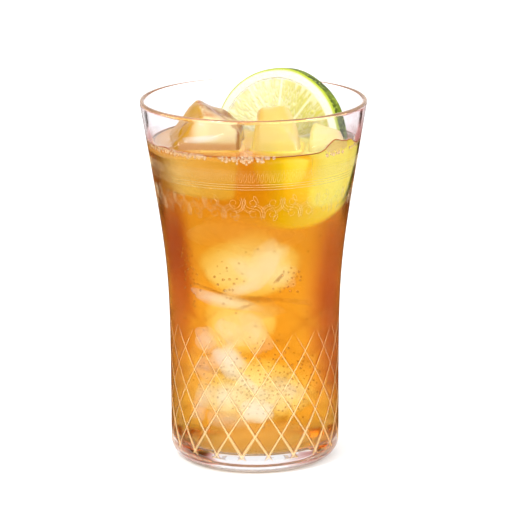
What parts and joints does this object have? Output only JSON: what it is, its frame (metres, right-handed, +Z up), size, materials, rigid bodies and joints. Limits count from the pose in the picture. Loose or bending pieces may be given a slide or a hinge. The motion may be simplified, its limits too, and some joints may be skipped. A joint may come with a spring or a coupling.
{
  "type": "iced highball cocktail with lime",
  "caption": "Flared clear tumbler with a diamond-cut foot and fine etched bands, full of an iced amber drink with a slice of lime.",
  "frame": {"origin": "the middle of the foot's underside, on the table", "axes": "+Z up along the axis of the glass, -Y towards the viewer of the picture, +X to that viewer's right"},
  "size_m": [0.0798, 0.0798, 0.1371],
  "materials": {
    "glass": "clear polished, cut lattice at the foot",
    "drink": "clear amber liquid",
    "ice": "clear ice, wet",
    "lime": "moist cut fruit with green rind"
  },
  "bodies": {
    "root": {"glass": "glass", "drink": "drink", "ice_left": "ice", "ice_middle": "ice", "ice_right": "ice", "lime_slice": "lime"}
  },
  "joints": []
}
